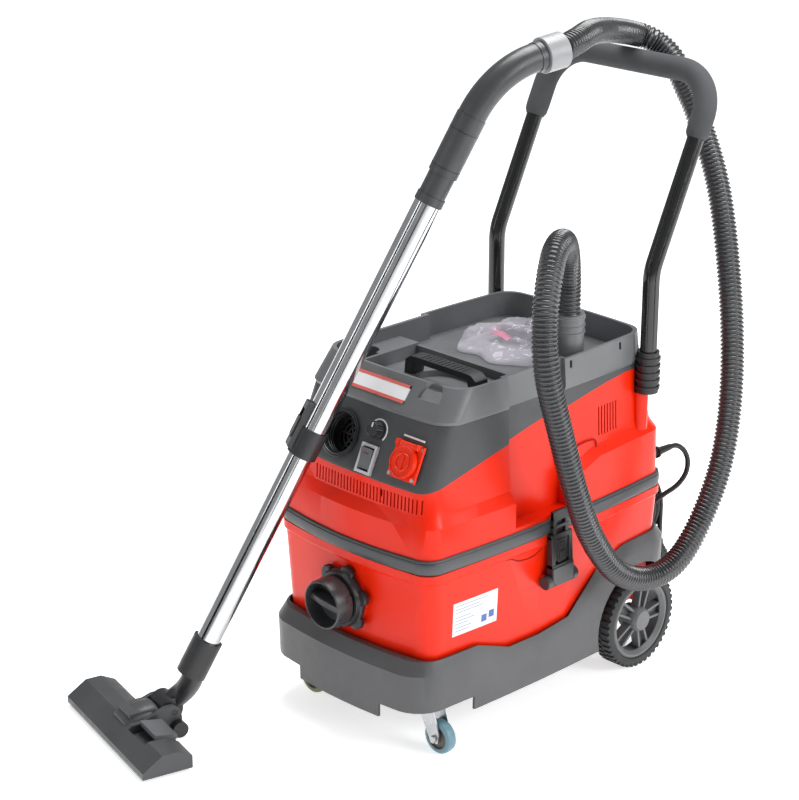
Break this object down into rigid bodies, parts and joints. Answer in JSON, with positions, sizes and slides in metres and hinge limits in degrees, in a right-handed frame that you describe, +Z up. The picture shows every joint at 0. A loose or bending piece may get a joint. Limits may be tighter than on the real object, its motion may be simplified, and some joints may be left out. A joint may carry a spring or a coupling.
{
  "type": "shop vacuum",
  "caption": "Wet and dry shop vacuum on a wheeled base, with push handle, tray, suction hose, telescopic wand and floor nozzle.",
  "frame": {"origin": "on the floor, under the middle of the tank", "axes": "+Z up, -Y to the front (the suction inlet side), +X to the machine's left hand side seen from the front viewer's right"},
  "size_m": [0.5765, 0.9762, 0.9856],
  "materials": {
    "base_plastic": "moulded, fine texture",
    "tank_red": "moulded, satin gloss",
    "head_red": "moulded, satin gloss",
    "seal_rubber": "extruded, matt",
    "black_plastic": "moulded, fine texture",
    "plated_steel": "zinc plated",
    "zinc_steel": "pressed and zinc plated",
    "wheel_grey": "moulded",
    "tyre_rubber": "moulded, treaded",
    "caster_rubber": "moulded, grey-blue",
    "cover_grey": "moulded, satin",
    "tray_grey": "moulded, satin",
    "knob_plastic": "moulded",
    "switch_grey": "moulded",
    "socket_red": "moulded",
    "painted_tube": "powder coated, gloss black",
    "grip_foam": "foamed sleeve, matt",
    "motor_steel": "pressed",
    "aluminium_cast": "pressed vanes",
    "filter_paper": "pleated",
    "float_plastic": "blown",
    "lead_pvc": "PVC sheath, matt",
    "hose_plastic": "blow-moulded ribs",
    "collar_grey": "moulded",
    "handle_plastic": "moulded, satin",
    "chrome_tube": "chrome-plated steel",
    "nozzle_plastic": "moulded, fine texture",
    "brush_bristle": "bristle strip",
    "pedal_plastic": "moulded",
    "clear_film": "polythene film"
  },
  "bodies": {
    "base": {"base": "base_plastic", "tank": "tank_red", "tank_seal": "seal_rubber", "inlet_bezel": "black_plastic", "rear_axle": "plated_steel", "caster_plate_left": "zinc_steel", "caster_plate_right": "zinc_steel", "latch_pins": "plated_steel"},
    "inlet_cap": {"inlet_cap": "black_plastic"},
    "wheel_left": {"rear_wheel_left": "wheel_grey", "rear_tyre_left": "tyre_rubber", "hub_cap_left": "wheel_grey"},
    "wheel_right": {"rear_wheel_right": "wheel_grey", "rear_tyre_right": "tyre_rubber", "hub_cap_right": "wheel_grey"},
    "swivel_left": {"caster_fork_left": "zinc_steel", "caster_axle_left": "zinc_steel"},
    "swivel_right": {"caster_fork_right": "zinc_steel", "caster_axle_right": "zinc_steel"},
    "caster_left": {"caster_wheel_left": "caster_rubber"},
    "caster_right": {"caster_wheel_right": "caster_rubber"},
    "latch_left": {"latch_left": "black_plastic"},
    "latch_right": {"latch_right": "black_plastic"},
    "head": {"head_shell": "head_red", "control_cover": "cover_grey", "tray": "tray_grey", "carry_handle": "black_plastic", "exhaust_port": "black_plastic", "switch_frame": "switch_grey", "socket_body": "socket_red", "socket_screws": "plated_steel", "post_collars": "black_plastic", "push_tube": "painted_tube", "push_grip": "grip_foam", "hose_cuff": "tray_grey", "motor": "motor_steel", "filter_cartridge": "filter_paper", "float_cage": "black_plastic", "strain_relief": "lead_pvc", "mains_lead": "lead_pvc", "lead_coil": "lead_pvc", "mains_plug": "lead_pvc", "hose": "hose_plastic", "hose_collar": "collar_grey", "accessory_bag": "clear_film"},
    "knob": {"control_knob": "knob_plastic"},
    "rocker": {"rocker_switch": "switch_grey"},
    "socket_flap": {"socket_flap": "socket_red"},
    "impeller": {"impeller": "aluminium_cast"},
    "float_ball": {"float_ball": "float_plastic"},
    "wand": {"wand_handle": "handle_plastic", "wand_outer": "chrome_tube", "wand_sleeve": "black_plastic"},
    "wand_lock": {"wand_lock": "black_plastic"},
    "wand_inner": {"wand_inner": "chrome_tube", "nozzle_neck": "nozzle_plastic"},
    "nozzle": {"nozzle_body": "nozzle_plastic"},
    "brush": {"nozzle_brush": "brush_bristle"},
    "pedal": {"nozzle_pedal": "pedal_plastic"},
    "roller": {"nozzle_roller": "nozzle_plastic"}
  },
  "joints": [
    {"name": "wheel_left_spin", "type": "hinge", "parent": "base", "child": "wheel_left", "pos_m": [-0.157, 0.186, 0.076], "axis": [1, 0, 0], "continuous": true},
    {"name": "wheel_right_spin", "type": "hinge", "parent": "base", "child": "wheel_right", "pos_m": [0.157, 0.186, 0.076], "axis": [1, 0, 0], "continuous": true},
    {"name": "caster_left_swivel", "type": "hinge", "parent": "base", "child": "swivel_left", "pos_m": [-0.13, -0.222, 0.076], "axis": [0, 0, 1], "continuous": true},
    {"name": "caster_right_swivel", "type": "hinge", "parent": "base", "child": "swivel_right", "pos_m": [0.13, -0.222, 0.076], "axis": [0, 0, 1], "continuous": true},
    {"name": "caster_left_spin", "type": "hinge", "parent": "swivel_left", "child": "caster_left", "pos_m": [-0.109, -0.222, 0.025], "axis": [0, 1, 0], "continuous": true},
    {"name": "caster_right_spin", "type": "hinge", "parent": "swivel_right", "child": "caster_right", "pos_m": [0.151, -0.222, 0.025], "axis": [0, 1, 0], "continuous": true},
    {"name": "inlet_cap_turn", "type": "hinge", "parent": "base", "child": "inlet_cap", "pos_m": [0, -0.279, 0.205], "axis": [0, -1, 0], "range_deg": [0, 60]},
    {"name": "latch_left_open", "type": "hinge", "parent": "base", "child": "latch_left", "pos_m": [-0.171, -0.002, 0.206], "axis": [0, -1, 0], "range_deg": [0, 70]},
    {"name": "latch_right_open", "type": "hinge", "parent": "base", "child": "latch_right", "pos_m": [0.171, -0.002, 0.206], "axis": [0, 1, 0], "range_deg": [0, 12]},
    {"name": "head_lift", "type": "slide", "parent": "base", "child": "head", "axis": [0, 0, 1], "range_m": [0, 0.12]},
    {"name": "knob_turn", "type": "hinge", "parent": "head", "child": "knob", "pos_m": [0.024, -0.21913, 0.44982], "axis": [0, 0.9064, -0.4223], "range_deg": [0, 270]},
    {"name": "rocker_tip", "type": "hinge", "parent": "head", "child": "rocker", "pos_m": [0.022, -0.23686, 0.41175], "axis": [-1, 0, 0], "range_deg": [0, 14]},
    {"name": "socket_flap_open", "type": "hinge", "parent": "head", "child": "socket_flap", "pos_m": [0.092, -0.22764, 0.45049], "axis": [-1, 0, 0], "range_deg": [0, 95]},
    {"name": "impeller_spin", "type": "hinge", "parent": "head", "child": "impeller", "pos_m": [0, 0, 0.32], "axis": [0, 0, 1], "continuous": true},
    {"name": "float_rise", "type": "slide", "parent": "head", "child": "float_ball", "axis": [0, 0, 1], "range_m": [0, 0.05]},
    {"name": "wand_swing", "type": "hinge", "parent": "head", "child": "wand", "pos_m": [0.11295, -0.00944, 0.95427], "axis": [0.1978, 0.9702, 0.1402], "range_deg": [0, 20]},
    {"name": "wand_unlock", "type": "slide", "parent": "wand", "child": "wand_lock", "axis": [0.4787, 0.7515, -0.454], "range_m": [0, 0.003], "stiffness_N_per_m": 400},
    {"name": "wand_telescope", "type": "slide", "parent": "wand", "child": "wand_inner", "axis": [0.2439, 0.3829, 0.891], "range_m": [0, 0.24]},
    {"name": "nozzle_tilt", "type": "hinge", "parent": "wand_inner", "child": "nozzle", "pos_m": [-0.17583, -0.45185, 0.036], "axis": [0.9692, -0.2462, 0], "range_deg": [-15, 30]},
    {"name": "pedal_press", "type": "hinge", "parent": "nozzle", "child": "pedal", "pos_m": [-0.12605, -0.49957, 0.026], "axis": [0.9692, -0.2462, 0], "range_deg": [0, 9]},
    {"name": "brush_lift", "type": "slide", "parent": "nozzle", "child": "brush", "axis": [0, 0, 1], "range_m": [0, 0.0045]},
    {"name": "roller_spin", "type": "hinge", "parent": "nozzle", "child": "roller", "pos_m": [-0.17485, -0.44797, 0.012], "axis": [0.9692, -0.2462, 0], "continuous": true}
  ],
  "couplings": [
    {"joint": "brush_lift", "follows": "pedal_press", "m_per_rad": 0.028648}
  ]
}
